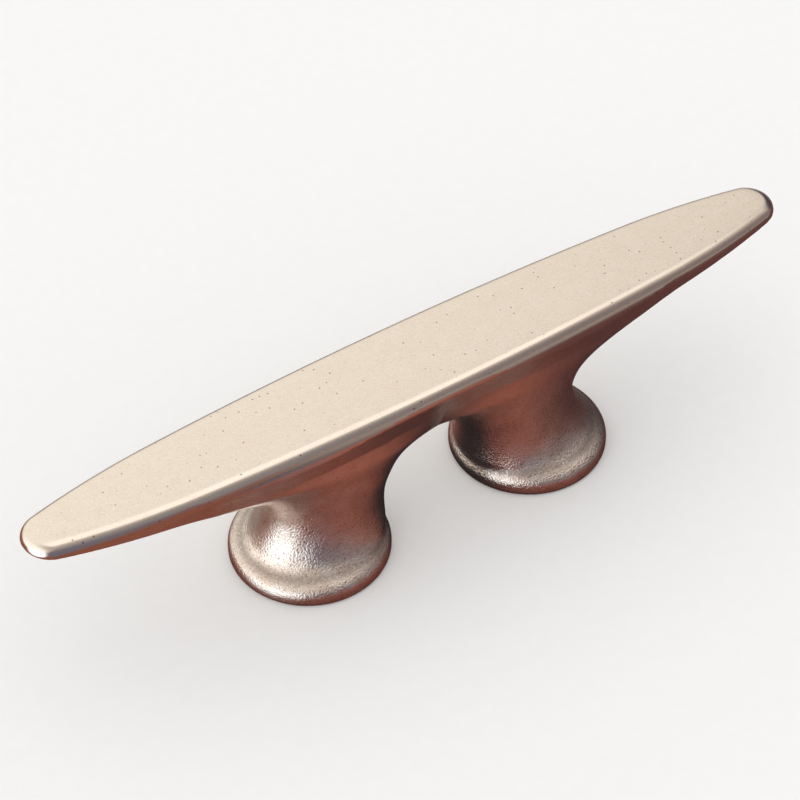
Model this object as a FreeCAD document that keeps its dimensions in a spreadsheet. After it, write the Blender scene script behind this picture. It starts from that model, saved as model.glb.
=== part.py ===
import FreeCAD, Part
import math
import os

import Sketcher

# A deck cleat for mooring lines: one bronze casting, a long flat-topped horn on two
# pedestals with round feet, held down from below by a stud, washers and a nut in each foot.
#
# Frame: millimetres, +Z up, X along the horn. The origin is on the deck plane, under the
# middle of the cleat, so the feet stand on Z = 0 and the studs hang below it.

Vector = FreeCAD.Vector

SIZES = {
    # horn, measured to the sharp corners that its top edge would have before rounding
    "horn_length": 258.0,
    "horn_half_width": 18.0,
    "horn_top": 56.8,
    "horn_depth": 22.0,
    "side_taper": 22.3,
    "side_radius": 1240.0,
    "side_end": 82.0,
    "tip_radius": 9.9,
    "top_edge_round": 4.6,
    # underside of the horn in the side view: an arch, then a straight rise to each tip
    "arch_top": 35.2,
    "arch_radius": 282.0,
    "arch_slope": 9.2,
    # feet
    "foot_spacing": 78.0,
    "foot_radius": 24.0,
    "foot_rim": 5.2,
    "foot_round": 2.0,
    # tapped hole in each foot, with a recess at its mouth for the bedding sealant
    "tapped_depth": 26.0,
    "thread_radius": 5.45,
    "thread_clearance": 0.02,
    "recess_radius": 9.0,
    "recess_depth": 2.0,
    # stud: threaded at both ends, with a plain shank where it passes through the deck
    "shank_radius": 6.0,
    "shank_end": -12.0,
    "stud_top": 24.0,
    "stud_end": -42.0,
    "stud_chamfer": 0.8,
    # washers and nut, clamped on a deck of this thickness
    "deck_thickness": 16.0,
    "washer_radius": 18.5,
    "washer_bore": 6.5,
    "washer_height": 3.0,
    "spring_radius": 10.5,
    "spring_bore": 6.3,
    "spring_height": 2.5,
    "spring_gap": 1.6,
    "nut_flats": 19.0,
    "nut_height": 10.0,
    "nut_chamfer": 1.0,
}

# Pedestal sections from the foot upwards: height, inner edge, outer edge and half width.
# The inner side stands almost straight, and the outer side sweeps out under the horn.
PEDESTAL = [
    (4.0, 16.5, 61.5, 21.5),
    (9.0, 15.5, 57.0, 17.0),
    (15.0, 15.0, 54.5, 15.0),
    (22.0, 13.5, 53.0, 14.0),
    (30.0, 9.5, 56.0, 13.5),
    (38.0, 5.5, 66.5, 12.5),
    (44.0, 4.0, 78.0, 11.0),
]
PEDESTAL_KEYS = ("leg_height", "leg_inner", "leg_outer", "leg_half")

doc = FreeCAD.newDocument("DeckCleat")


# ---------------------------------------------------------------- driving dimensions

def make_sheet():
    """Write every driving dimension into the spreadsheet, one alias to a cell."""
    sheet = doc.addObject("Spreadsheet::Sheet", "Sizes")
    values = dict(SIZES)
    for number, section in enumerate(PEDESTAL, start=1):
        for key, value in zip(PEDESTAL_KEYS, section):
            values[f"{key}_{number}"] = value
    for row, (name, value) in enumerate(values.items(), start=1):
        sheet.set(f"A{row}", name)
        sheet.set(f"B{row}", str(value))
        sheet.setAlias(f"B{row}", name)
    doc.recompute()
    return values


SIZE = make_sheet()


def bind(feature, **expressions):
    """Bind each property of a feature to an expression over the sheet's aliases."""
    for name, expression in expressions.items():
        feature.setExpression(name.replace("__", "."), expression)


def plane(body, role):
    return next(item for item in body.Origin.OriginFeatures if item.Role == role)


def new_sketch(body, role, name):
    sketch = body.newObject("Sketcher::SketchObject", name)
    sketch.AttachmentSupport = [(plane(body, role), "")]
    sketch.MapMode = "FlatFace"
    return sketch


def dimension(sketch, kind, *where, to):
    """Add a dimensional constraint and bind it to the sheet."""
    index = sketch.addConstraint(Sketcher.Constraint(kind, *where))
    sketch.setExpression(f"Constraints[{index}]", to)
    return index


def edges_where(shape, test):
    """Names of the edges whose bounding box passes the test."""
    return [f"Edge{i}" for i, edge in enumerate(shape.Edges, start=1) if test(edge.BoundBox)]


# ---------------------------------------------------------------- horn

START, END, CENTRE = 1, 2, 3
ORIGIN = (-1, 1)
X_AXIS, Y_AXIS = -1, -2


def arc(centre, radius, first, last):
    circle = Part.Circle(Vector(centre[0], centre[1], 0), Vector(0, 0, 1), radius)
    return Part.ArcOfCircle(circle, first, last)


def horn_outline(sketch):
    """Plan of the horn: long side arcs, tighter shoulder arcs and round tips, all tangent."""
    half_length = SIZE["horn_length"] / 2
    half_width = SIZE["horn_half_width"]
    side, tip = SIZE["side_radius"], SIZE["tip_radius"]
    turn = math.asin(SIZE["side_end"] / side)
    normal = (math.sin(turn), math.cos(turn))
    joint = (side * normal[0], half_width - side + side * normal[1])
    tip_x = half_length - tip
    reach = (joint[0] - tip_x, joint[1])
    along = normal[0] * reach[0] + normal[1] * reach[1]
    shoulder = (reach[0] ** 2 + reach[1] ** 2 - tip ** 2) / (2 * (along - tip))
    centre = (joint[0] - shoulder * normal[0], joint[1] - shoulder * normal[1])
    tip_turn = math.atan2(-centre[1], tip_x - centre[0])
    quarter, half = math.pi / 2, math.pi
    arcs = [
        arc((0, half_width - side), side, quarter - turn, quarter + turn),
        arc((-centre[0], centre[1]), shoulder, quarter + turn, half - tip_turn),
        arc((-tip_x, 0), tip, half - tip_turn, half + tip_turn),
        arc((-centre[0], -centre[1]), shoulder, half + tip_turn, 3 * quarter - turn),
        arc((0, side - half_width), side, 3 * quarter - turn, 3 * quarter + turn),
        arc((centre[0], -centre[1]), shoulder, 3 * quarter + turn, 2 * half - tip_turn),
        arc((tip_x, 0), tip, -tip_turn, tip_turn),
        arc(centre, shoulder, tip_turn, quarter - turn),
    ]
    sketch.addGeometry(arcs, False)
    for first in range(8):
        sketch.addConstraint(Sketcher.Constraint("Tangent", first, END, (first + 1) % 8, START))
    for side_arc in (0, 4):
        sketch.addConstraint(Sketcher.Constraint("PointOnObject", side_arc, CENTRE, Y_AXIS))
    for tip_arc in (2, 6):
        sketch.addConstraint(Sketcher.Constraint("PointOnObject", tip_arc, CENTRE, X_AXIS))
    for pair in ((0, 4), (2, 6), (1, 3), (3, 5), (5, 7)):
        sketch.addConstraint(Sketcher.Constraint("Equal", *pair))
    dimension(sketch, "Radius", 0, side, to="Sizes.side_radius")
    dimension(sketch, "Radius", 6, tip, to="Sizes.tip_radius")
    to_side = "Sizes.side_radius - Sizes.horn_half_width"
    dimension(sketch, "DistanceY", 0, CENTRE, *ORIGIN, side - half_width, to=to_side)
    dimension(sketch, "DistanceY", *ORIGIN, 4, CENTRE, side - half_width, to=to_side)
    to_tip = "Sizes.horn_length / 2 - Sizes.tip_radius"
    dimension(sketch, "DistanceX", *ORIGIN, 6, CENTRE, tip_x, to=to_tip)
    dimension(sketch, "DistanceX", 2, CENTRE, *ORIGIN, tip_x, to=to_tip)
    dimension(sketch, "DistanceX", *ORIGIN, 0, START, SIZE["side_end"], to="Sizes.side_end")


def horn_underside(sketch):
    """Side view of the space under the horn: a shallow arch, then a straight rise each way."""
    slope = math.radians(SIZE["arch_slope"])
    radius, crown = SIZE["arch_radius"], SIZE["arch_top"]
    reach, floor = SIZE["horn_length"], SIZE["horn_top"] - 2 * SIZE["horn_depth"]
    bend = (radius * math.sin(slope), crown + radius * (1 - math.cos(slope)))
    rise = bend[1] + (reach - bend[0]) * math.tan(slope)
    quarter = math.pi / 2
    corners = {name: Vector(x, z, 0) for name, (x, z) in {
        "right_bend": bend, "right_top": (reach, rise), "right_floor": (reach, floor),
        "left_floor": (-reach, floor), "left_top": (-reach, rise),
        "left_bend": (-bend[0], bend[1])}.items()}
    path = ["right_bend", "right_top", "right_floor", "left_floor", "left_top", "left_bend"]
    lines = [Part.LineSegment(corners[a], corners[b]) for a, b in zip(path, path[1:])]
    crown_arc = arc((0, crown + radius), radius, 3 * quarter - slope, 3 * quarter + slope)
    sketch.addGeometry(lines + [crown_arc], False)
    for first in range(4):
        sketch.addConstraint(Sketcher.Constraint("Coincident", first, END, first + 1, START))
    sketch.addConstraint(Sketcher.Constraint("Tangent", 4, END, 5, START))
    sketch.addConstraint(Sketcher.Constraint("Tangent", 5, END, 0, START))
    sketch.addConstraint(Sketcher.Constraint("PointOnObject", 5, CENTRE, Y_AXIS))
    sketch.addConstraint(Sketcher.Constraint("Horizontal", 2))
    sketch.addConstraint(Sketcher.Constraint("Vertical", 1))
    sketch.addConstraint(Sketcher.Constraint("Vertical", 3))
    sketch.addConstraint(Sketcher.Constraint("Equal", 0, 4))
    dimension(sketch, "Radius", 5, radius, to="Sizes.arch_radius")
    dimension(sketch, "DistanceY", *ORIGIN, 5, CENTRE, crown + radius,
              to="Sizes.arch_top + Sizes.arch_radius")
    dimension(sketch, "DistanceX", *ORIGIN, 1, START, reach, to="Sizes.horn_length")
    dimension(sketch, "DistanceY", *ORIGIN, 2, START, floor,
              to="Sizes.horn_top - 2 * Sizes.horn_depth")
    dimension(sketch, "Angle", 0, slope, to="Sizes.arch_slope * 1 deg")


def make_horn():
    """The bar that the line is belayed on: tapered sides, rounded top edge, arched underside."""
    body = doc.addObject("PartDesign::Body", "HornBar")
    outline = new_sketch(body, "XY_Plane", "HornOutline")
    bind(outline, AttachmentOffset__Base__z="Sizes.horn_top")
    horn_outline(outline)
    pad = body.newObject("PartDesign::Pad", "HornPad")
    pad.Profile = outline
    pad.Reversed = True
    bind(pad, Length="Sizes.horn_depth", TaperAngle="-Sizes.side_taper")
    doc.recompute()
    underside = new_sketch(body, "XZ_Plane", "HornUnderside")
    horn_underside(underside)
    pocket = body.newObject("PartDesign::Pocket", "HornPocket")
    pocket.Profile = underside
    pocket.Type = "ThroughAll"
    pocket.Midplane = True
    doc.recompute()
    top = SIZE["horn_top"]
    rounded = body.newObject("PartDesign::Fillet", "TopEdge")
    rounded.Base = (pocket, edges_where(pocket.Shape, lambda box: box.ZMin > top - 0.01))
    bind(rounded, Radius="Sizes.top_edge_round")
    doc.recompute()
    return body


# ---------------------------------------------------------------- pedestals and feet

def make_pedestal():
    """One pedestal, lofted upwards through ellipses that lean and spread under the horn."""
    sections = []
    for number in range(1, len(PEDESTAL) + 1):
        ring = doc.addObject("Part::Ellipse", f"PedestalSection{number}")
        inner, outer = f"Sizes.leg_inner_{number}", f"Sizes.leg_outer_{number}"
        bind(ring, MajorRadius=f"({outer} - {inner}) / 2", MinorRadius=f"Sizes.leg_half_{number}",
             Placement__Base__x=f"({outer} + {inner}) / 2",
             Placement__Base__z=f"Sizes.leg_height_{number}")
        sections.append(ring)
    loft = doc.addObject("Part::Loft", "Pedestal")
    loft.Sections = sections
    loft.Solid = True
    loft.Ruled = False
    doc.recompute()
    return loft


def make_foot():
    """The round foot under a pedestal, a disc with both rims rounded."""
    body = doc.addObject("PartDesign::Body", "Foot")
    sketch = new_sketch(body, "XY_Plane", "FootCircle")
    sketch.addGeometry(Part.Circle(Vector(SIZE["foot_spacing"] / 2, 0, 0), Vector(0, 0, 1),
                                   SIZE["foot_radius"]), False)
    sketch.addConstraint(Sketcher.Constraint("PointOnObject", 0, CENTRE, X_AXIS))
    dimension(sketch, "Radius", 0, SIZE["foot_radius"], to="Sizes.foot_radius")
    dimension(sketch, "DistanceX", *ORIGIN, 0, CENTRE, SIZE["foot_spacing"] / 2,
              to="Sizes.foot_spacing / 2")
    pad = body.newObject("PartDesign::Pad", "FootPad")
    pad.Profile = sketch
    bind(pad, Length="Sizes.foot_rim")
    doc.recompute()
    rims = body.newObject("PartDesign::Fillet", "FootRims")
    rims.Base = (pad, edges_where(pad.Shape, lambda box: box.ZLength < 0.01))
    bind(rims, Radius="Sizes.foot_round")
    doc.recompute()
    return body


def mirrored(source, name):
    """The same piece at the other end of the cleat."""
    mirror = doc.addObject("Part::Mirroring", name)
    mirror.Source = source
    mirror.Normal = Vector(1, 0, 0)
    return mirror


def cylinder(name, radius, bottom, top, x):
    """An upright cylinder between two heights, all four sizes given as expressions."""
    solid = doc.addObject("Part::Cylinder", name)
    bind(solid, Radius=radius, Height=f"{top} - ({bottom})", Placement__Base__x=x,
         Placement__Base__z=bottom)
    return solid


def make_stud_hole(name, x):
    """The tapped hole in a foot, with the wider recess at its mouth."""
    hole = doc.addObject("Part::MultiFuse", name)
    hole.Shapes = [
        cylinder(f"{name}Tapped", "Sizes.thread_radius + Sizes.thread_clearance", "0",
                 "Sizes.tapped_depth", x),
        cylinder(f"{name}Recess", "Sizes.recess_radius", "0", "Sizes.recess_depth", x),
    ]
    return hole


def make_casting():
    """Horn, pedestals and feet are poured as one piece, so they are one solid."""
    horn, pedestal, foot = make_horn(), make_pedestal(), make_foot()
    whole = doc.addObject("Part::MultiFuse", "CastingBody")
    whole.Shapes = [horn, pedestal, mirrored(pedestal, "AftPedestal"), foot,
                    mirrored(foot, "AftFoot")]
    whole.Refine = True
    holes = doc.addObject("Part::MultiFuse", "StudHoles")
    holes.Shapes = [make_stud_hole("ForeHole", "Sizes.foot_spacing / 2"),
                    make_stud_hole("AftHole", "-Sizes.foot_spacing / 2")]
    casting = doc.addObject("Part::Cut", "Casting")
    casting.Base, casting.Tool = whole, holes
    casting.Label = "horn_casting"
    return casting


# ---------------------------------------------------------------- deck hardware

def make_stud(end, x):
    """Double-ended stud: threads drawn at their pitch radius, and a plain shank between."""
    upper = cylinder(f"{end}StudUpper", "Sizes.thread_radius", "Sizes.recess_depth",
                     "Sizes.stud_top", x)
    shank = cylinder(f"{end}StudShank", "Sizes.shank_radius", "Sizes.shank_end",
                     "Sizes.recess_depth", x)
    lower = cylinder(f"{end}StudLower", "Sizes.thread_radius",
                     "Sizes.stud_end + Sizes.stud_chamfer", "Sizes.shank_end", x)
    point = doc.addObject("Part::Cone", f"{end}StudPoint")
    bind(point, Radius1="Sizes.thread_radius - Sizes.stud_chamfer", Radius2="Sizes.thread_radius",
         Height="Sizes.stud_chamfer", Placement__Base__x=x, Placement__Base__z="Sizes.stud_end")
    stud = doc.addObject("Part::MultiFuse", f"{end}Stud")
    stud.Shapes = [upper, shank, lower, point]
    stud.Refine = True
    return stud


def ring(name, outer, bore, bottom, height, x):
    """A flat ring on the stud."""
    cut = doc.addObject("Part::Cut", name)
    cut.Base = cylinder(f"{name}Disc", outer, bottom, f"{bottom} + {height}", x)
    cut.Tool = cylinder(f"{name}Bore", bore, bottom, f"{bottom} + {height}", x)
    return cut


FLAT_BOTTOM = "-Sizes.deck_thickness - Sizes.washer_height"
SPRING_BOTTOM = f"{FLAT_BOTTOM} - Sizes.spring_height"
NUT_BOTTOM = f"{SPRING_BOTTOM} - Sizes.nut_height"


def make_spring_washer(end, x):
    """A ring sawn through on one side, which bites into the nut and the flat washer."""
    name = f"{end}SpringWasher"
    slit = doc.addObject("Part::Box", f"{name}Slit")
    bind(slit, Length="Sizes.spring_radius", Width="Sizes.spring_gap",
         Height="Sizes.spring_height", Placement__Base__x=x,
         Placement__Base__y="-Sizes.spring_gap / 2", Placement__Base__z=SPRING_BOTTOM)
    cut = doc.addObject("Part::Cut", name)
    cut.Base = ring(f"{name}Ring", "Sizes.spring_radius", "Sizes.spring_bore", SPRING_BOTTOM,
                    "Sizes.spring_height", x)
    cut.Tool = slit
    return cut


def make_nut(end, x):
    """A hexagon nut with its corners chamfered top and bottom, run up under the washers."""
    name = f"{end}Nut"
    hexagon = doc.addObject("Part::Prism", f"{name}Hexagon")
    hexagon.Polygon = 6
    bind(hexagon, Circumradius="Sizes.nut_flats / sqrt(3)", Height="Sizes.nut_height",
         Placement__Base__x=x, Placement__Base__z=NUT_BOTTOM)
    cones = []
    corner = "(Sizes.nut_flats / sqrt(3) + 0.05)"
    flats = f"({corner} - Sizes.nut_chamfer)"
    for side, radii, bottom, height in (
            ("Lower", (flats, corner), NUT_BOTTOM, "Sizes.nut_chamfer"),
            ("Upper", (corner, flats), f"{SPRING_BOTTOM} - Sizes.nut_chamfer",
             "Sizes.nut_chamfer")):
        cone = doc.addObject("Part::Cone", f"{name}{side}Cone")
        bind(cone, Radius1=radii[0], Radius2=radii[1], Height=height,
             Placement__Base__x=x, Placement__Base__z=bottom)
        cones.append(cone)
    waist = cylinder(f"{name}Waist", corner, f"{NUT_BOTTOM} + Sizes.nut_chamfer",
                     f"{SPRING_BOTTOM} - Sizes.nut_chamfer", x)
    envelope = doc.addObject("Part::MultiFuse", f"{name}Envelope")
    envelope.Shapes = cones + [waist]
    blank = doc.addObject("Part::Common", f"{name}Blank")
    blank.Base, blank.Tool = hexagon, envelope
    nut = doc.addObject("Part::Cut", name)
    nut.Base = blank
    nut.Tool = cylinder(f"{name}Bore", "Sizes.thread_radius + Sizes.thread_clearance",
                        NUT_BOTTOM, SPRING_BOTTOM, x)
    return nut


def make_hardware(end, x):
    """Everything on one stud, from the foot downwards."""
    pieces = {
        "stud": make_stud(end, x),
        "flat_washer": ring(f"{end}FlatWasher", "Sizes.washer_radius", "Sizes.washer_bore",
                            FLAT_BOTTOM, "Sizes.washer_height", x),
        "spring_washer": make_spring_washer(end, x),
        "hex_nut": make_nut(end, x),
    }
    for name, piece in pieces.items():
        piece.Label = f"{end.lower()}_{name}"
    return list(pieces.values())


# ---------------------------------------------------------------- build, check and export

nodes = [make_casting()]
nodes += make_hardware("Fore", "Sizes.foot_spacing / 2")
nodes += make_hardware("Aft", "-Sizes.foot_spacing / 2")
doc.recompute()

for item in doc.Objects:
    if "Invalid" in item.State or "Error" in item.State:
        raise RuntimeError(f"{item.Label} did not compute: {item.State}")

os.makedirs("parts", exist_ok=True)
for node in nodes:
    shape = node.Shape
    if shape.isNull() or not shape.isValid() or len(shape.Solids) != 1:
        raise RuntimeError(f"{node.Label} is not one sound solid")
    shape.exportStep(f"parts/{node.Label}.step")
    box = shape.BoundBox
    print(f"{node.Label}: {shape.Volume / 1000:.2f} cm3, X {box.XMin:.1f} to {box.XMax:.1f}, "
          f"Y {box.YMin:.1f} to {box.YMax:.1f}, Z {box.ZMin:.1f} to {box.ZMax:.1f}")
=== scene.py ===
# %% [markdown]
# # A bronze mooring cleat
#
# A cleat is the two-horned casting that a mooring line is made fast to on a deck. One bar with two
# long horns stands on two pedestals, and each pedestal ends in a round foot. All of it is poured as
# one piece of bronze, ground smooth on a belt and buffed bright on top, where rope and hands rub it.
# Two studs screw up into the feet from below, pass through the deck, and are drawn tight by nuts.
#
# This lesson starts from the measured frame of the part. Every length is in metres, the deck is the
# plane z = 0, and the horns run along x.

# %% Load the frame
import bmesh
import bpy
import numpy as np
from mathutils import Matrix


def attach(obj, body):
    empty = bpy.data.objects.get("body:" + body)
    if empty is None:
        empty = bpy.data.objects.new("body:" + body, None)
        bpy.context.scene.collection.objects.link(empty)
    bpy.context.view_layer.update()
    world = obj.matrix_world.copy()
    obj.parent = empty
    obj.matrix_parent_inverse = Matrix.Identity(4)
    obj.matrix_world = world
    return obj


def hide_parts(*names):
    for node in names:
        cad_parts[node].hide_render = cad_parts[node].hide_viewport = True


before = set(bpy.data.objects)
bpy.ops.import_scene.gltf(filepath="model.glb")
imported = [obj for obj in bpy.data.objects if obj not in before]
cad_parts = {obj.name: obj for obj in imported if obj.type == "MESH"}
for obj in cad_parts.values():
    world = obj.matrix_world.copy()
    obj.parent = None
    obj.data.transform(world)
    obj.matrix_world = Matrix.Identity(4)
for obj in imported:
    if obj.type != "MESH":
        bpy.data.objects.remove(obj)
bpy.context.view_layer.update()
MM = 0.001

# %% [markdown]
# ## From numbers to a mesh
#
# A surface reaches Blender as two arrays: where the points are, and which four points make each
# face. `make_mesh` takes both arrays and writes them straight into the mesh in one go.
#
# Most of the small parts are made on a grid. Its rows are the points of a cross section, its columns
# are the stations that the section is carried to, and `grid_faces` names the four corners of every
# cell. When both directions close on themselves the result is a ring with no seam.

# %% Write arrays into a mesh
def make_mesh(name, points, faces):
    """A smooth mesh object from an (n, 3) array of points in metres and an (m, 4) array of corners."""
    mesh = bpy.data.meshes.new(name)
    mesh.vertices.add(len(points))
    mesh.vertices.foreach_set("co", points.astype(np.float32).ravel())
    mesh.loops.add(faces.size)
    mesh.loops.foreach_set("vertex_index", faces.astype(np.int32).ravel())
    mesh.polygons.add(len(faces))
    mesh.polygons.foreach_set("loop_start", np.arange(0, faces.size, 4, dtype=np.int32))
    mesh.polygons.foreach_set("use_smooth", np.ones(len(faces), dtype=bool))
    mesh.update(calc_edges=True)
    piece = bpy.data.objects.new(name, mesh)
    bpy.context.scene.collection.objects.link(piece)
    print(f"{name}: {len(points)} points, {len(faces)} faces")
    return piece


def grid_faces(rows, columns, close_rows=True, close_columns=True):
    """Corner numbers of every cell of a grid: each cell joins a point to the next row and column."""
    last_row = rows if close_rows else rows - 1
    last_column = columns if close_columns else columns - 1
    row, column = np.meshgrid(np.arange(last_row), np.arange(last_column), indexing="ij")
    down, across = (row + 1) % rows, (column + 1) % columns
    corners = [row * columns + column, row * columns + across,
               down * columns + across, down * columns + column]
    return np.stack(corners, axis=-1).reshape(-1, 4)


# %% [markdown]
# ## The casting as one blended field
#
# The real cleat starts as a wooden pattern. The pattern maker shapes a tapered bar, glues two waisted
# pedestals and two feet under it, and fills every inside corner with a fillet of leather or wax, so
# that the metal flows and nothing tears as it cools. The bronze copy has no seam anywhere.
#
# A grid would suit the bar alone, or one pedestal alone, but no single grid covers a bar that swells
# into two legs without pinching. So the casting is described by a distance field instead. For any
# point, `casting_field` gives about how far it lies outside the metal, and less than zero inside.
# The bar, the pedestals and the feet each have a plain formula, and a smooth minimum joins them just
# as the pattern maker's fillets do.

# %% Ways to join two distances
def smooth_min(a, b, width):
    """The smaller distance, dipping where both are alike: a fillet as wide as the given width."""
    near = np.maximum(width - np.abs(a - b), 0) / width
    return np.minimum(a, b) - near * near * width / 4


def round_max(a, b, radius):
    """The larger distance, with the outside corner turned on a circle of the given radius."""
    flat_part = np.minimum(np.maximum(a, b), -radius)
    return flat_part + np.hypot(np.maximum(a + radius, 0), np.maximum(b + radius, 0))


def eased(share):
    """From 0 to 1 with level ends: three times the square less twice the cube, held outside."""
    share = np.clip(share, 0, 1)
    return share * share * (3 - 2 * share)


# %% [markdown]
# ### The bar
#
# Seen from above, the bar is a long lens: two nearly straight sides, shoulders that turn in, and a
# small round nose, each an arc that runs smoothly into the next. Below its crest the sides lean
# inwards, so that the pattern lifts out of the sand, and the horns thin towards their tips
# because the underside rises.

# %% Outline and body of the bar (in millimetres)
TOP, HALF_LENGTH, HALF_WIDTH = 56.8, 126.95, 16.16
SIDE_ARC, SIDE_REACH, NOSE = 1240.0, 82.0, 7.97
LEAN, CREST_ROUND, KEEL_ROUND = 0.41, 4.6, 1.2
CROWN_DROP, CROWN_REACH, CROWN_LIMIT = 0.5, 3.2, 2
ARCH_TOP, HORN_RISE, RISE_POWER, RISE_TILT = 35.2, 17.4, 1.26, 0.97


def lens_distance(x, y):
    """Distance to the outline seen from above: side arc, shoulder arc and nose arc, tangent in turn."""
    x, y = np.abs(x), np.abs(y)
    turn = np.arcsin(SIDE_REACH / SIDE_ARC)
    out = np.array([np.sin(turn), np.cos(turn)])
    side_centre = np.array([0.0, HALF_WIDTH - SIDE_ARC])
    join = side_centre + SIDE_ARC * out
    nose_centre = np.array([HALF_LENGTH - NOSE, 0.0])
    reach = join - nose_centre
    shoulder = (reach @ reach - NOSE**2) / (2 * (out @ reach - NOSE))
    shoulder_centre = join - shoulder * out
    ahead = (nose_centre - shoulder_centre) / np.linalg.norm(nose_centre - shoulder_centre)
    to_side = np.hypot(x - side_centre[0], y - side_centre[1]) - SIDE_ARC
    to_shoulder = np.hypot(x - shoulder_centre[0], y - shoulder_centre[1]) - shoulder
    to_nose = np.hypot(x - nose_centre[0], y) - NOSE
    past_join = (x - shoulder_centre[0]) * out[1] - (y - shoulder_centre[1]) * out[0] > 0
    past_shoulder = (x - shoulder_centre[0]) * ahead[1] - (y - shoulder_centre[1]) * ahead[0] > 0
    return np.where(past_shoulder, to_nose, np.where(past_join, to_shoulder, to_side))


def bar_field(x, y, z):
    """The lens, leaning in below the crest, under a top that eases down by half a millimetre to its edge."""
    inwards = lens_distance(x, y)
    side = (inwards + LEAN * (TOP - CREST_ROUND - z)) / np.hypot(1, LEAN)
    crown = TOP - CROWN_DROP * np.exp(np.minimum(inwards, CROWN_LIMIT) / CROWN_REACH)
    bar = round_max(side, z - crown, CREST_ROUND)
    underside = ARCH_TOP + HORN_RISE * (np.abs(x) / HALF_LENGTH) ** RISE_POWER
    return round_max(bar, (underside - z) * RISE_TILT, KEEL_ROUND)


# %% [markdown]
# ### The pedestals and feet
#
# A pedestal is an oval column. It is widest where it flares into the foot, has its waist about 22 mm
# above the deck, and leans outwards again under the bar. Three curves say how far it reaches at each
# height. The outer one is two parabolas that meet at the waist, so the horn grows out of it in one
# sweep. The inner one is an S, upright at the foot and upright again under the bar. The half width
# flares as a cube towards the foot. The foot is a plain disc with rounded edges, hollowed a little
# around the stud so that it beds on its rim.

# %% Pedestal and foot (in millimetres)
FOOT_AT, FOOT_RADIUS, FOOT_RIM = 39.0, 23.9, 6.0
WAIST_HEIGHT, WAIST_OUTER, WAIST_HALF = 22.0, 52.8, 13.9
HORN_SWEEP, FOOT_SWEEP, FOOT_FLARE = 0.0525, 0.025, 7.2
INNER_LOW, INNER_HIGH, INNER_TURN, INNER_EASE = 15.4, 5.0, 27.5, 4.0
TUCK, TUCK_BELOW, TUCK_RUN = 2.8, 9.5, 5.0
WIDENS_BELOW, WIDENING, NARROWS_ABOVE, NARROWING = 26, 0.00075, 30, 0.0145
CURVES_TOP, INTO_BAR, PEDESTAL_BASE = 44, 11, 1
SLOPE_FLOOR, CORE, CORE_DEPTH = 0.3, 0.3, 0.7
LIP_ROUND, BASE_ROUND = 3.4, 1.5


def pedestal_reach(z):
    """Inner edge, outer edge and half width: an S curve, two parabolas, and a cube less a parabola."""
    above, below = np.maximum(z - WAIST_HEIGHT, 0), np.maximum(WAIST_HEIGHT - z, 0)
    outer = WAIST_OUTER + HORN_SWEEP * above**2 + np.minimum(FOOT_SWEEP * below**2, FOOT_FLARE)
    inner = INNER_HIGH + (INNER_LOW - INNER_HIGH) / (1 + np.exp((z - INNER_TURN) / INNER_EASE))
    inner = inner + TUCK * eased((TUCK_BELOW - z) / TUCK_RUN)
    flare = np.minimum(WIDENING * np.maximum(WIDENS_BELOW - z, 0) ** 3, FOOT_FLARE)
    return inner, outer, WAIST_HALF + flare - NARROWING * np.maximum(z - NARROWS_ABOVE, 0) ** 2


def pedestal_field(x, y, z):
    """An oval column: scaled distance to an ellipse whose centre and half-axes change with height."""
    inner, outer, breadth = pedestal_reach(np.clip(z, 0, CURVES_TOP))
    half, across = (outer - inner) / 2, np.abs(x) - (outer + inner) / 2
    rho = np.hypot(across / half, y / breadth)
    slope = np.hypot(across / half**2, y / breadth**2)
    oval = rho * (rho - 1) / np.maximum(slope, SLOPE_FLOOR * rho / np.maximum(half, breadth))
    oval = np.where(rho < CORE, -CORE_DEPTH * breadth, oval)
    return np.maximum(np.maximum(oval, z - (TOP - INTO_BAR)), PEDESTAL_BASE - z)


def foot_field(x, y, z):
    """A disc between the deck and the rim, with a wide round on its upper edge and a small one below."""
    disc = round_max(np.hypot(np.abs(x) - FOOT_AT, y) - FOOT_RADIUS, z - FOOT_RIM, LIP_ROUND)
    return round_max(disc, -z, BASE_ROUND)


# %% [markdown]
# ### The founder's hand
#
# Nothing poured in sand and finished by hand is quite true. The pedestals keep a slow unevenness of
# about a tenth of a millimetre, where the belt could not follow the curves. It matters more than its
# size suggests, because bright metal shows its shape only through what it mirrors, and a slight wave
# bends a highlight. The bar was ground on a flat table, so the wave fades out below it.

# %% The whole casting (in millimetres)
FOOT_FILLET, BAR_FILLET = 4.0, 10.5
HOLLOW_RADIUS, HOLLOW_HEIGHT, HOLLOW_EDGE = 9.0, 2.0, 0.5
WAVE, WAVE_FROM, WAVE_GROWS, WAVE_UNTIL, WAVE_FADES = 0.10, 5, 4, 34, 12


def hand_wave(x, y, z):
    """Slow unevenness from -1 to 1: crossed sines, 12 to 32 mm long as measured along x, y or z."""
    first = np.sin(x / 1.9 + 1.3 * np.sin(y / 3.1)) * np.sin(y / 2.3 + z / 2.7 + 0.6)
    second = np.sin(x / 3.6 - y / 2.9 + z / 3.3 + 2.0 * np.sin(z / 5.1))
    return 0.5 * first + 0.5 * second


def casting_field(x, y, z):
    """Feet blended into pedestals, pedestals into the bar, a bedding hollow cut out, and a slow wave."""
    leg = smooth_min(pedestal_field(x, y, z), foot_field(x, y, z), FOOT_FILLET)
    whole = smooth_min(bar_field(x, y, z), leg, BAR_FILLET)
    hollow = np.maximum(np.hypot(np.abs(x) - FOOT_AT, y) - HOLLOW_RADIUS, z - HOLLOW_HEIGHT)
    rough = np.clip((z - WAVE_FROM) / WAVE_GROWS, 0, 1) * np.clip((WAVE_UNTIL - z) / WAVE_FADES, 0, 1)
    return round_max(whole, -hollow, HOLLOW_EDGE) + WAVE * rough * hand_wave(x, y, z)


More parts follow.
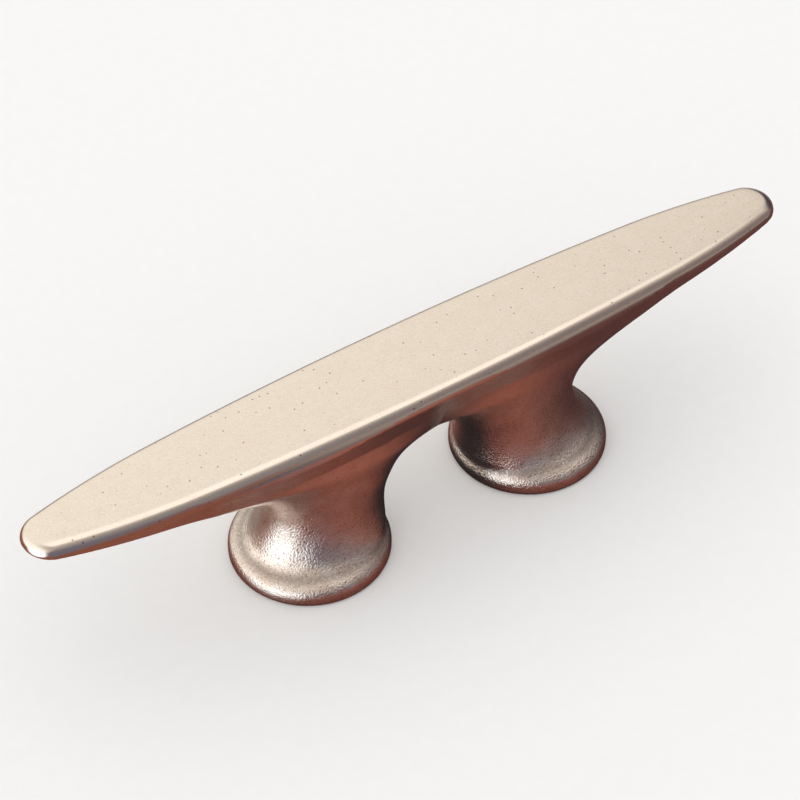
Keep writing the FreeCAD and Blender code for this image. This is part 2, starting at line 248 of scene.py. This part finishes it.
# %% [markdown]
# ### Drawing the skin
#
# To get a mesh, the field is worked out at every point of a block of space. Wherever two neighbours
# disagree about being in metal, the skin passes between them. Every cell that the skin crosses gets
# one point, at the mean of its crossings, and every crossed edge gets one face, between the four
# cells around it. The points are then slid along the field's slope until they lie on zero, and the
# same slope gives the exact direction that the surface faces, so highlights run without ripples.

# %% Sample the field and skin it
def skin_of(field, low, high, step):
    """Points and faces where the field is zero: one point per crossed cell, one face per crossed edge."""
    axes = [np.arange(a, b + step, step) for a, b in zip(low, high)]
    values = field(*np.meshgrid(*axes, indexing="ij"))
    inside = values < 0
    cells = tuple(n - 1 for n in values.shape)
    total, count, crossed = np.zeros(cells + (3,)), np.zeros(cells), []
    for axis in range(3):
        near = tuple(slice(0, -1) if i == axis else slice(None) for i in range(3))
        far = tuple(slice(1, None) if i == axis else slice(None) for i in range(3))
        where = np.argwhere(inside[near] != inside[far])
        a, b = values[near][tuple(where.T)], values[far][tuple(where.T)]
        place = np.stack([axes[i][where[:, i]] for i in range(3)], axis=1)
        place[:, axis] += step * a / (a - b)
        u, v = ((1, 2), (2, 0), (0, 1))[axis]
        around = [where - np.eye(3, dtype=int)[u] * du - np.eye(3, dtype=int)[v] * dv
                  for du, dv in ((0, 0), (1, 0), (1, 1), (0, 1))]
        for cell in around:
            np.add.at(total, tuple(cell.T), place)
            np.add.at(count, tuple(cell.T), 1)
        crossed.append((around, inside[near][tuple(where.T)]))
    number = np.cumsum(count.ravel() > 0).reshape(cells) - 1
    points = total[count > 0] / count[count > 0][:, None]
    faces = []
    for around, starts_inside in crossed:
        quad = np.stack([number[tuple(cell.T)] for cell in around], axis=1)
        faces.append(np.where(starts_inside[:, None], quad, quad[:, ::-1]))
    return points, np.concatenate(faces)


def slope_of(field, points, reach=0.02):
    """The field's slope at each point, by stepping a little each way along x, y and z."""
    steps = np.eye(3) * reach
    return np.stack([(field(*(points + s).T) - field(*(points - s).T)) / (2 * reach) for s in steps], axis=1)


def settle(field, points, rounds=3):
    """Slide points onto the zero of the field: each round divides the value by the slope."""
    for _ in range(rounds):
        slope = slope_of(field, points)
        move = field(*points.T) / np.maximum((slope**2).sum(axis=1), 0.05)
        points = points - np.clip(move, -0.6, 0.6)[:, None] * slope
    slope = slope_of(field, points)
    return points, slope / np.linalg.norm(slope, axis=1)[:, None]


BLOCK_LOW, BLOCK_HIGH, CELL = (-128.6, -25.9, -1.2), (128.8, 25.9, 57.8), 0.7
casting_points, casting_faces = skin_of(casting_field, BLOCK_LOW, BLOCK_HIGH, CELL)
casting_points, casting_normals = settle(casting_field, casting_points)
casting = make_mesh("cast_bar_and_feet", casting_points * MM, casting_faces)
casting.data.normals_split_custom_set_from_vertices(casting_normals.tolist())
print("casting box in mm:", casting_points.min(axis=0).round(2), casting_points.max(axis=0).round(2))

# %% [markdown]
# ### Where the buffing wheel reached
#
# The wheel reaches the top and the crests easily, the bar's sides less, and the inside corners over
# the feet hardly at all, so the metal there stays ground and cloudy. Two values are kept on every
# point for the finish to read: `buffed`, from 0 as ground to 1 as buffed, and `corner`, which comes
# close to 1 in the groove between pedestal and rim. Where `buffed` is low the colour is also browner,
# partly the ground metal's own tone and partly a painted reflection of a brown bench. Where `corner`
# is high the colour gets painted shade and the metal is rougher. The groove shows in the field
# itself: it lies where the distance to the pedestal and the distance to the foot are alike.

# %% Mark buffed metal and corners
CREST_FROM, CREST_RUN, SIDE_FROM, SIDE_RUN, SIDE_SHARE = 48.5, 4, 30, 10, 0.45
GROOVE_WIDTH, GROOVE_FROM, GROOVE_RUN = 2.4, 3.5, 3.0


def keep_on_points(piece, name, values):
    """Store one number per point under a name that a material can read."""
    layer = piece.data.attributes.new(name, "FLOAT", "POINT")
    layer.data.foreach_set("value", np.clip(values, 0, 1).astype(np.float32))
    print(f"{name}: mean {float(np.mean(values)):.2f}")


px, py, pz = casting_points.T
# low `buffed` also makes the colour browner, partly the ground metal's tone and partly a painted reflection
crest = np.clip((pz - CREST_FROM) / CREST_RUN, 0, 1)
sides = SIDE_SHARE * np.clip((pz - SIDE_FROM) / SIDE_RUN, 0, 1)
keep_on_points(casting, "buffed", np.maximum(crest, sides))
# `corner` peaks in the groove. The finish uses it for painted shade and for rougher metal.
apart = np.abs(pedestal_field(px, py, pz) - foot_field(px, py, pz))
groove = eased(1 - apart / GROOVE_WIDTH) * eased((pz - GROOVE_FROM) / GROOVE_RUN)
keep_on_points(casting, "corner", groove)
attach(casting, "root")
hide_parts("horn_casting")

# %% [markdown]
# ## Closing the small parts
#
# A grid ends in a ring of points. Where the part has an end, that last ring is shrunk to one place,
# which leaves many points lying on each other and tiny gaps between their faces. `weld` makes them
# one point, so the shell is closed, and then marks every edge that turns by more than 35 degrees as
# sharp, because a machined corner catches the light as a line and not as a soft bend.

# %% Weld and sharpen
def weld(piece):
    """Merge points that share a place, and shade across an edge only if it turns by under 35 degrees."""
    shell = bmesh.new()
    shell.from_mesh(piece.data)
    bmesh.ops.remove_doubles(shell, verts=shell.verts, dist=1e-7)
    shell.to_mesh(piece.data)
    shell.free()
    piece.data.set_sharp_from_angle(angle=np.radians(35))


# %% [markdown]
# ## The studs
#
# A stud is a length of bronze rod with a rolled M12 thread, a plain shank where it passes the deck,
# and a small chamfer on the end that starts the nut. A thread is a ridge wound round a rod: go once
# round, and it has climbed one pitch, 1.75 mm. On a grid of height and angle, the radius is then a
# zigzag of height less a share of the turn, which is why the ridge joins itself all the way up.

# %% Threaded studs
PITCH, CREST, ROOT = 1.75, 5.95, 5.0
SHANK, SHANK_END, RUN_OUT, TIP = 6.0, -12.0, 0.4, 5.1


def stud_points(centre_x, low=-42.0, high=8.0, around=60):
    """Rows up the rod and columns round it; the radius is the thread's below the shank, then the shank's."""
    threaded = np.arange(low, SHANK_END, PITCH / 12)
    height = np.concatenate([[low], threaded, np.linspace(SHANK_END, high, 6), [high]])
    turn = np.linspace(0, 2 * np.pi, around, endpoint=False)
    z, angle = np.meshgrid(height, turn, indexing="ij")
    phase = (z / PITCH - angle / (2 * np.pi)) % 1.0
    ridge = np.clip(1.25 - 2.6 * np.abs(phase - 0.5), 0, 1)
    radius = ROOT + (CREST - ROOT) * ridge
    radius = np.where(z > SHANK_END - RUN_OUT, SHANK, radius)
    radius = np.minimum(radius, TIP + z - low)
    radius[[0, -1]] = 0.0
    return np.stack([centre_x + radius * np.cos(angle), radius * np.sin(angle), z], axis=-1)


studs = {}
for end, at in (("fore", FOOT_AT), ("aft", -FOOT_AT)):
    grid = stud_points(at)
    faces = grid_faces(*grid.shape[:2], close_rows=False)
    studs[end] = make_mesh(f"{end}_threaded_stud", grid.reshape(-1, 3) * MM, faces)
    weld(studs[end])
    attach(studs[end], "root")
    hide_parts(f"{end}_stud")

# %% [markdown]
# ## Washers and nuts
#
# All three are rings: a cross section carried round the stud. The flat washer is stamped from plate,
# so its edges are slightly rounded. The spring washer is a short length of square wire bent into a
# ring with a slit, and its sharp ends bite. The nut is a ring too, once its outside is let grow from
# a circle to a hexagon: at each angle the radius is the flat's distance over the cosine of the angle
# from that flat, and a cone cuts the corners, which gives the curved chamfer marks of a turned nut.

# %% Rings of any section
ACROSS_FLATS, CONE, CONE_FROM, CONE_SLOPE = 19.0, 10.75, 3.9, 1.7
HALF_SLIT = 0.096


def rounded_section(inner, outer, low, high, edge, steps=5):
    """A rectangle of radius and height, walked once round, with each corner turned on a small arc."""
    arc = np.linspace(0, np.pi / 2, steps)
    corners = [(outer - edge, high - edge, 0), (inner + edge, high - edge, np.pi / 2),
               (inner + edge, low + edge, np.pi), (outer - edge, low + edge, 3 * np.pi / 2)]
    walk = [np.stack([r + edge * np.cos(start + arc), z + edge * np.sin(start + arc)], axis=1)
            for r, z, start in corners]
    return np.concatenate(walk)


def ring_points(section, centre_x, turn, across_flats=None, cone=None):
    """Carry the section round; a hexagon's outside reaches the flat over the cosine, less the cone."""
    radius, angle = np.meshgrid(section[:, 0], turn, indexing="ij")
    height = np.broadcast_to(section[:, 1:2], radius.shape)
    if across_flats:
        flat = across_flats / 2
        to_corner = 1 / np.cos((angle + np.pi / 6) % (np.pi / 3) - np.pi / 6)
        radius = np.where(radius < flat, radius, radius * to_corner)
        middle = (section[:, 1].max() + section[:, 1].min()) / 2
        past_flat = np.maximum(np.abs(height - middle) - CONE_FROM, 0)
        radius = np.minimum(radius, cone - CONE_SLOPE * past_flat)
    return np.stack([centre_x + radius * np.cos(angle), radius * np.sin(angle), height], axis=-1)


def ring_piece(name, points, body, node, closed=True):
    """Turn a grid of section rows and station columns into a finished piece on its body."""
    piece = make_mesh(name, points.reshape(-1, 3) * MM, grid_faces(*points.shape[:2], close_columns=closed))
    weld(piece)
    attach(piece, body)
    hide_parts(node)
    return piece


full_turn = np.linspace(0, 2 * np.pi, 96, endpoint=False)
split_turn = np.linspace(HALF_SLIT, 2 * np.pi - HALF_SLIT, 90)
flat_section = rounded_section(6.5, 18.5, -19.0, -16.0, 0.35)
spring_section = rounded_section(6.3, 10.5, -21.5, -19.0, 0.25)
# up the flats, in across the top, down the bore, out across the bottom and back to the flats
nut_section = np.concatenate([
    np.linspace((9.5, -30.2), (9.5, -22.8), 9), np.linspace((9.5, -22.3), (9.5, -21.5), 4),
    np.linspace((8.6, -21.5), (6.8, -21.5), 4), np.linspace((6.15, -22.2), (6.15, -30.8), 4),
    np.linspace((6.8, -31.5), (8.6, -31.5), 4), np.linspace((9.5, -31.5), (9.5, -30.7), 4)])
loose = []
for end, at in (("fore", FOOT_AT), ("aft", -FOOT_AT)):
    loose.append(ring_piece(f"{end}_plate_washer", ring_points(flat_section, at, full_turn),
                            f"{end}_washers", f"{end}_flat_washer"))
    spring = ring_points(spring_section, at, split_turn)
    ends = spring.mean(axis=0, keepdims=True)[:, [0, -1]]
    spring = np.concatenate([np.repeat(ends[:, :1], len(spring), axis=0), spring,
                             np.repeat(ends[:, 1:], len(spring), axis=0)], axis=1)
    loose.append(ring_piece(f"{end}_split_washer", spring, f"{end}_washers",
                            f"{end}_spring_washer", closed=False))
    loose.append(ring_piece(f"{end}_hexagon_nut", ring_points(nut_section, at, full_turn, ACROSS_FLATS, CONE),
                            f"{end}_nut", f"{end}_hex_nut"))

# %% [markdown]
# ## Finishes
#
# Bright bronze has almost no colour of its own that we see: it tints what it mirrors. What makes it
# read as metal is how sharp or cloudy that mirror is, and the small marks in it. So the finish is
# built from shared effects, each a node group that gives out heights and masks, and every material
# places them with its own sizes.

# %% Small helpers for nodes
def add(tree, kind, values=None, **settings):
    """Add a node, set its choices, then fill its inputs with numbers or with links from other nodes."""
    made = tree.nodes.new(kind)
    for key, value in settings.items():
        setattr(made, key, value)
    for key, value in (values or {}).items():
        if isinstance(value, bpy.types.NodeSocket):
            tree.links.new(value, made.inputs[key])
        else:
            made.inputs[key].default_value = value
    return made


def mix_colour(tree, share, first, second):
    """First colour where share is 0, second where it is 1."""
    return add(tree, "ShaderNodeMix", {0: share, 6: first, 7: second}, data_type="RGBA").outputs[2]


def calc(tree, operation, first, second):
    """One sum on two numbers."""
    return add(tree, "ShaderNodeMath", {0: first, 1: second}, operation=operation).outputs[0]


def ramp(tree, value, low, high, to_low=0.0, to_high=1.0):
    """Carry a value from one range to another, easing in and out, and never past the ends."""
    made = add(tree, "ShaderNodeMapRange", {0: value, 1: low, 2: high, 3: to_low, 4: to_high},
               interpolation_type="SMOOTHSTEP")
    return made.outputs[0]


def effect(name, inputs, outputs):
    """A node group with named inputs and outputs, and its two end nodes."""
    tree = bpy.data.node_groups.new(name, "ShaderNodeTree")
    for label, kind, value in inputs:
        socket = tree.interface.new_socket(label, in_out="INPUT", socket_type=kind)
        if value is not None:
            socket.default_value = value
    for label, kind in outputs:
        tree.interface.new_socket(label, in_out="OUTPUT", socket_type=kind)
    print("effect:", name)
    return tree, tree.nodes.new("NodeGroupInput").outputs, tree.nodes.new("NodeGroupOutput").inputs


NUMBER, VECTOR = "NodeSocketFloat", "NodeSocketVector"

# %% [markdown]
# ### Sand grain and gas pits
#
# Molten bronze takes the print of the sand: a fine orange peel, about half a millimetre across.
# Polishing brightens its hills and leaves the hollows dark, so both are given out as masks. A second,
# broader noise gives a patchy mottle. Gas in the metal leaves pinholes too, a few to the square
# centimetre. A pinhole is a spot close to one of the scattered centres of a cell pattern, and a
# second reading of each cell keeps only some of them.

# %% Effect: sand grain
grain_tree, given, result = effect(
    "Sand grain",
    [("Place", VECTOR, None), ("Size", NUMBER, 0.0005), ("Spacing", NUMBER, 0.003), ("Share", NUMBER, 0.3)],
    [("Height", NUMBER), ("Pits", NUMBER), ("Specks", NUMBER), ("Hollows", NUMBER), ("Mottle", NUMBER)])
fineness = calc(grain_tree, "DIVIDE", 1.0, given["Size"])
peel = add(grain_tree, "ShaderNodeTexNoise", {"Vector": given["Place"], "Scale": fineness, "Detail": 3.0})
broad = add(grain_tree, "ShaderNodeTexNoise", {"Vector": given["Place"], "Scale": 210.0, "Detail": 3.0})
closeness = calc(grain_tree, "DIVIDE", 1.0, given["Spacing"])
cells = add(grain_tree, "ShaderNodeTexVoronoi", {"Vector": given["Place"], "Scale": closeness}, feature="F1")
lot = add(grain_tree, "ShaderNodeSeparateColor", {0: cells.outputs["Color"]}).outputs[0]
chosen = calc(grain_tree, "LESS_THAN", lot, given["Share"])
spot = ramp(grain_tree, cells.outputs["Distance"], 0.05, 0.14, 1.0, 0.0)
pits = calc(grain_tree, "MULTIPLY", spot, chosen)
peel_height = ramp(grain_tree, peel.outputs["Fac"], 0.3, 0.7)
grain_tree.links.new(calc(grain_tree, "SUBTRACT", peel_height, pits), result["Height"])
grain_tree.links.new(pits, result["Pits"])
grain_tree.links.new(ramp(grain_tree, peel.outputs["Fac"], 0.56, 0.70), result["Specks"])
grain_tree.links.new(ramp(grain_tree, peel.outputs["Fac"], 0.32, 0.42, 1.0, 0.0), result["Hollows"])
grain_tree.links.new(ramp(grain_tree, broad.outputs["Fac"], 0.35, 0.65), result["Mottle"])

# %% [markdown]
# ### Buffing lines
#
# The last belt runs along the horns, so its scratches do too. They are noise stretched sixty times
# along x. Each line is far too fine to see by itself, but together they draw a highlight out across
# the grain and give the grey streaks along the crest.

# %% Effect: buffing lines
lines_tree, given, result = effect("Buffing lines", [("Place", VECTOR, None), ("Fineness", NUMBER, 2600.0)],
                                   [("Height", NUMBER), ("Streaks", NUMBER)])
stretched = add(lines_tree, "ShaderNodeVectorMath", {0: given["Place"], 1: (0.016, 1.0, 1.0)},
                operation="MULTIPLY")
fine = add(lines_tree, "ShaderNodeTexNoise",
           {"Vector": stretched.outputs[0], "Scale": given["Fineness"], "Detail": 2.0})
wide = add(lines_tree, "ShaderNodeTexNoise", {"Vector": stretched.outputs[0], "Scale": 900.0, "Detail": 3.0})
lines_tree.links.new(fine.outputs["Fac"], result["Height"])
lines_tree.links.new(ramp(lines_tree, wide.outputs["Fac"], 0.35, 0.65), result["Streaks"])

# %% [markdown]
# ### The casting's finish
#
# Pale and clear where it is buffed, cloudier where it is only ground and browner there, partly from
# the ground metal's own tone and partly as a painted reflection of a brown bench. The corners over the
# feet get painted shade and are rougher. The `buffed` and `corner` values on the points say
# which is where, and the two effects break up every edge between them.

# %% Material: the casting
def attribute(tree, name):
    """A value kept on the points, by its name."""
    return add(tree, "ShaderNodeAttribute", attribute_name=name).outputs["Fac"]


def place_effect(tree, group, values):
    """The outputs of a shared effect, set up with its own sizes."""
    return add(tree, "ShaderNodeGroup", values, node_tree=bpy.data.node_groups[group]).outputs


def start_material(name):
    """A new material with its shader and the point's own place in metres."""
    material = bpy.data.materials.new(name)
    material.use_nodes = True
    tree = material.node_tree
    shader = next(n for n in tree.nodes if n.type == "BSDF_PRINCIPLED")
    shader.inputs["Metallic"].default_value = 1.0
    return material, tree, shader, add(tree, "ShaderNodeTexCoord").outputs["Object"]


bronze, tree, shader, place = start_material("polished_cast_bronze")
buffed, corner = attribute(tree, "buffed"), attribute(tree, "corner")
skin = place_effect(tree, "Sand grain", {"Place": place, "Size": 0.0006, "Spacing": 0.0022, "Share": 0.60})
face = place_effect(tree, "Sand grain", {"Place": place, "Size": 0.0006, "Spacing": 0.0026, "Share": 0.60})
lines = place_effect(tree, "Buffing lines", {"Place": place})

# ground metal colour: browner than the buffed, partly its own tone and partly a painted reflection of a brown
# bench
dull_and_painted_brown = mix_colour(tree, skin["Mottle"], (0.83, 0.71, 0.62, 1), (0.92, 0.83, 0.75, 1))
dull_and_painted_brown = mix_colour(tree, calc(tree, "MULTIPLY", skin["Specks"], 0.6), dull_and_painted_brown, (0.97, 0.90, 0.82, 1))
clear = mix_colour(tree, face["Mottle"], (0.905, 0.805, 0.70, 1), (0.92, 0.825, 0.725, 1))
clear = mix_colour(tree, calc(tree, "MULTIPLY", face["Specks"], 0.55), clear, (0.98, 0.93, 0.86, 1))
dull_and_painted_brown = mix_colour(tree, calc(tree, "MULTIPLY", skin["Hollows"], 0.65), dull_and_painted_brown, (0.34, 0.25, 0.22, 1))
clear = mix_colour(tree, calc(tree, "MULTIPLY", face["Hollows"], 0.16), clear, (0.42, 0.34, 0.28, 1))
colour = mix_colour(tree, buffed, dull_and_painted_brown, clear)
# painted shade: the groove's colour is pulled up to 55% toward near-black brown, broken up by the specks
dark = calc(tree, "MULTIPLY", corner, ramp(tree, skin["Specks"], 0.0, 1.0, 0.55, 0.15))
colour = mix_colour(tree, dark, colour, (0.20, 0.15, 0.14, 1))
pinholes = calc(tree, "MAXIMUM", calc(tree, "MULTIPLY", face["Pits"], 0.75),
                calc(tree, "MULTIPLY", skin["Pits"], ramp(tree, buffed, 0.0, 0.6, 0.6, 0.0)))
tree.links.new(mix_colour(tree, pinholes, colour, (0.13, 0.08, 0.07, 1)), shader.inputs["Base Color"])

cloudy = ramp(tree, buffed, 0.0, 1.0, 0.22, 0.21)
streaky = calc(tree, "MULTIPLY", buffed, ramp(tree, lines["Streaks"], 0.0, 1.0, -0.02, 0.03))
cloudy = calc(tree, "ADD", cloudy, streaky)
tree.links.new(calc(tree, "ADD", cloudy, calc(tree, "MULTIPLY", corner, 0.15)), shader.inputs["Roughness"])

drawn = calc(tree, "MULTIPLY", lines["Height"], ramp(tree, buffed, 0.55, 1.0))
scratched = add(tree, "ShaderNodeBump", {"Strength": 1.0, "Distance": 0.0000003, "Height": drawn})
left = calc(tree, "MULTIPLY", skin["Height"], ramp(tree, buffed, 0.0, 0.7, 1.0, 0.02))
grained = add(tree, "ShaderNodeBump", {"Strength": 1.0, "Distance": 0.00007, "Height": left,
                                       "Normal": scratched.outputs[0]})
pitted = add(tree, "ShaderNodeBump", {"Strength": 1.0, "Distance": 0.00002, "Height": face["Pits"],
                                      "Normal": grained.outputs[0]}, invert=True)
tree.links.new(pitted.outputs[0], shader.inputs["Normal"])
casting.data.materials.append(bronze)

# %% [markdown]
# ### The fasteners' finish
#
# Rod and plate bronze come bright from the mill and then go brown below deck. They share one recipe:
# turned or rolled metal with a light tarnish, and each piece sets its own colour and cloudiness.

# %% Materials: the fasteners
def fastener_material(name, bright, brown, cloudiness):
    """Mill-bright bronze, tarnished in patches by the broad mottle."""
    material, tree, shader, place = start_material(name)
    grain = place_effect(tree, "Sand grain", {"Place": place, "Size": 0.0004})
    lines = place_effect(tree, "Buffing lines", {"Place": place, "Fineness": 1800.0})
    tree.links.new(mix_colour(tree, grain["Mottle"], bright, brown), shader.inputs["Base Color"])
    rough = ramp(tree, lines["Streaks"], 0.0, 1.0, cloudiness - 0.05, cloudiness + 0.07)
    tree.links.new(rough, shader.inputs["Roughness"])
    bump = add(tree, "ShaderNodeBump", {"Strength": 0.6, "Distance": 0.00001, "Height": grain["Height"]})
    tree.links.new(bump.outputs[0], shader.inputs["Normal"])
    return material


rod = fastener_material("rod_bronze", (0.80, 0.62, 0.44, 1), (0.55, 0.38, 0.26, 1), 0.30)
plate = fastener_material("plate_bronze", (0.82, 0.66, 0.48, 1), (0.60, 0.43, 0.30, 1), 0.34)
wire = fastener_material("spring_wire_bronze", (0.74, 0.55, 0.40, 1), (0.50, 0.34, 0.24, 1), 0.38)
bar_stock = fastener_material("nut_bar_bronze", (0.84, 0.67, 0.47, 1), (0.62, 0.44, 0.30, 1), 0.28)
for stud in studs.values():
    stud.data.materials.append(rod)
for piece, finish in zip(loose, (plate, wire, bar_stock) * 2):
    piece.data.materials.append(finish)

# %% [markdown]
# ## The studio
#
# The cleat stands on a plain pale floor. Bright metal needs something to mirror, so the room matters
# more than the lamps: a pale ceiling with a soft light overhead, a soft window at the left, a dim
# room behind the viewer, and warm brown low down, as a wooden bench would give. The floor is pale to
# the eye, but in the metal's mirror it is that bench: brown close by, grey at its front edge, beyond
# that nearly black at the left and grey at the right, grey behind, and dark in the shade under the
# arch. Past the bench's left end the mirror looks through the floor to the sky.

# %% Floor
corners = np.array([(-4.0, -4.0, 0.0), (4.0, -4.0, 0.0), (4.0, 4.0, 0.0), (-4.0, 4.0, 0.0)])
floor = make_mesh("studio_floor", corners - (0, 0, 0.00005), np.array([[0, 1, 2, 3]]))
paper, tree, shader, place = start_material("pale_paper")
shader.inputs["Metallic"].default_value = 0.0
shader.inputs["Roughness"].default_value = 0.9
fibres = add(tree, "ShaderNodeTexNoise", {"Vector": place, "Scale": 220.0, "Detail": 3.0})
pale = mix_colour(tree, fibres.outputs["Fac"], (0.90, 0.90, 0.90, 1), (0.93, 0.93, 0.925, 1))


def stretch(tree, place, away):
    """How far a point lies from the middle, measured along one direction of the floor."""
    return add(tree, "ShaderNodeVectorMath", {0: place, 1: away}, operation="DOT_PRODUCT").outputs["Value"]


brown = mix_colour(tree, ramp(tree, stretch(tree, place, (1.0, 0.0, 0.0)), 0.03, 0.08),
                   (0.37, 0.114, 0.077, 1), (0.11, 0.034, 0.031, 1))
bench = mix_colour(tree, ramp(tree, stretch(tree, place, (-0.3, -0.95, 0.0)), 0.062, 0.075), brown,
                   (0.14, 0.13, 0.165, 1))
beyond = mix_colour(tree, ramp(tree, stretch(tree, place, (1.0, 0.0, 0.0)), -0.05, 0.03),
                    (0.055, 0.055, 0.085, 1), (0.27, 0.23, 0.205, 1))
bench = mix_colour(tree, ramp(tree, stretch(tree, place, (-0.3, -0.95, 0.0)), 0.078, 0.100), bench, beyond)
bench = mix_colour(tree, ramp(tree, stretch(tree, place, (-0.3, 0.95, 0.0)), 0.030, 0.060), bench,
                   (0.30, 0.27, 0.26, 1))
under_arch = ramp(tree, add(tree, "ShaderNodeVectorMath", {0: place}, operation="LENGTH").outputs["Value"],
                  0.012, 0.030)
open_sky = add(tree, "ShaderNodeAmbientOcclusion", {"Distance": 0.05}, samples=4).outputs["AO"]
open_sky = calc(tree, "MULTIPLY", calc(tree, "POWER", open_sky, 1.6), under_arch)
bench = mix_colour(tree, open_sky, (0.02, 0.012, 0.02, 1), bench)
glossy = add(tree, "ShaderNodeLightPath").outputs["Is Glossy Ray"]
tree.links.new(mix_colour(tree, glossy, pale, bench), shader.inputs["Base Color"])
past_end = ramp(tree, stretch(tree, place, (-0.95, -0.31, 0.0)), 0.055, 0.080)
gone = add(tree, "ShaderNodeMixShader", {0: calc(tree, "MULTIPLY", glossy, past_end), 1: shader.outputs[0],
                                         2: add(tree, "ShaderNodeBsdfTransparent").outputs[0]})
tree.links.new(gone.outputs[0], next(n for n in tree.nodes if n.type == "OUTPUT_MATERIAL").inputs[0])
floor.data.materials.append(paper)

# %% [markdown]
# ### The viewer
#
# The viewer looks down at the cleat along a heading and a tilt, with a slight roll. `right` and
# `ahead` are level directions as the viewer sees them, and the room's lights are aimed by the same two.

# %% Where the viewer stands (in millimetres)
HEADING, TILT, ROLL = np.radians((33.04, 44.68, -0.83))
DISTANCE, ASIDE, RAISED = 794.5, 6.1, 27.25
FILM_WIDTH, FOCAL_LENGTH = 36.0, 119.69
right = np.array([np.cos(HEADING), -np.sin(HEADING), 0.0])
ahead = np.array([np.sin(HEADING), np.cos(HEADING), 0.0])
above = np.array([0.0, 0.0, 1.0])
look = ahead * np.cos(TILT) - above * np.sin(TILT)
over = ahead * np.sin(TILT) + above * np.cos(TILT)
across = right * np.cos(ROLL) + over * np.sin(ROLL)
upward = over * np.cos(ROLL) - right * np.sin(ROLL)
stand = (-look * DISTANCE - across * ASIDE + upward * RAISED) * MM

lens = bpy.data.cameras.new("viewer")
lens.sensor_width, lens.lens = FILM_WIDTH, FOCAL_LENGTH
viewer = bpy.data.objects.new("viewer", lens)
turned = Matrix([list(row) for row in np.stack([across, upward, -look], axis=1)]).to_4x4()
viewer.matrix_world = Matrix.Translation(stand.tolist()) @ turned
bpy.context.scene.collection.objects.link(viewer)
bpy.context.scene.camera = viewer
print("viewer at", stand.round(3))

# %% [markdown]
# ### The room as a sky
#
# The room is painted on the sky around the scene. Each soft light is a direction with a spread: the
# nearer a line of sight comes to that direction, the more of the light's colour it takes.

# %% Room light
room = bpy.data.worlds.new("studio_room")
room.use_nodes = True
bpy.context.scene.world = room
sky = room.node_tree
sky.nodes.clear()
direction = add(sky, "ShaderNodeTexCoord").outputs["Generated"]


def towards(away, aside, up):
    """A unit direction given as the viewer sees it: away from them, to their right, and up."""
    mixed = ahead * away + right * aside + above * up
    return tuple(mixed / np.linalg.norm(mixed))


def soft_light(colour_so_far, aim, colour, wide, tight):
    """Blend a colour in where the cosine to the aim climbs from the wide edge to the tight core."""
    nearness = add(sky, "ShaderNodeVectorMath", {0: direction, 1: aim}, operation="DOT_PRODUCT")
    share = ramp(sky, nearness.outputs["Value"], wide, tight)
    return mix_colour(sky, share, colour_so_far, (*colour, 1))


# each light: where it lies, its colour, and the cosines of its wide edge and its tight core
room_lights = (
    (towards(0.8, -0.9, 0.9), (0.97, 0.94, 0.875), 0.34, 0.95),  # pale ceiling, ahead and to the left
    (towards(0.143, 0.204, 1.0), (1.16, 1.12, 1.06), 0.875, 0.960),  # soft light overhead
    (towards(-0.55, -0.85, 0.10), (1.25, 1.22, 1.18), 0.45, 0.85),  # window, to the left and behind
    (towards(-0.75, 0.75, 0.30), (0.27, 0.26, 0.27), 0.70, 0.95),  # dim corner, behind and to the right
    (towards(-1.0, 0.25, 0.0), (0.17, 0.16, 0.21), 0.80, 0.96),  # the viewer's own shade
    (towards(-0.1, 1.0, 0.10), (0.22, 0.185, 0.19), 0.70, 0.95),  # dark wall, to the right
    (towards(0.75, 0.62, 0.15), (0.045, 0.05, 0.065), 0.82, 0.95),  # dark opening, ahead and to the right
    ((0, 0, -1), (0.24, 0.09, 0.062), 0.0, 0.06),  # brown below the horizon
    (towards(-1.0, 0.35, -0.25), (0.16, 0.15, 0.19), 0.88, 0.97),  # grey, low down behind
    (towards(-0.72, -0.68, -0.12), (1.62, 1.73, 1.82), 0.78, 0.92),  # low window, to the left and behind
)
light = (0.50, 0.445, 0.41, 1)
for aim, colour, wide, tight in room_lights:
    light = soft_light(light, aim, colour, wide, tight)
rays = add(sky, "ShaderNodeLightPath").outputs
seen = mix_colour(sky, rays["Is Diffuse Ray"], light, (1.05, 1.05, 1.05, 1))
seen = mix_colour(sky, rays["Is Camera Ray"], seen, (0.93, 0.93, 0.93, 1))
background = add(sky, "ShaderNodeBackground", {"Color": seen, "Strength": 1.0})
sky.links.new(background.outputs[0], add(sky, "ShaderNodeOutputWorld").inputs[0])
bpy.context.scene.view_settings.view_transform = "Standard"
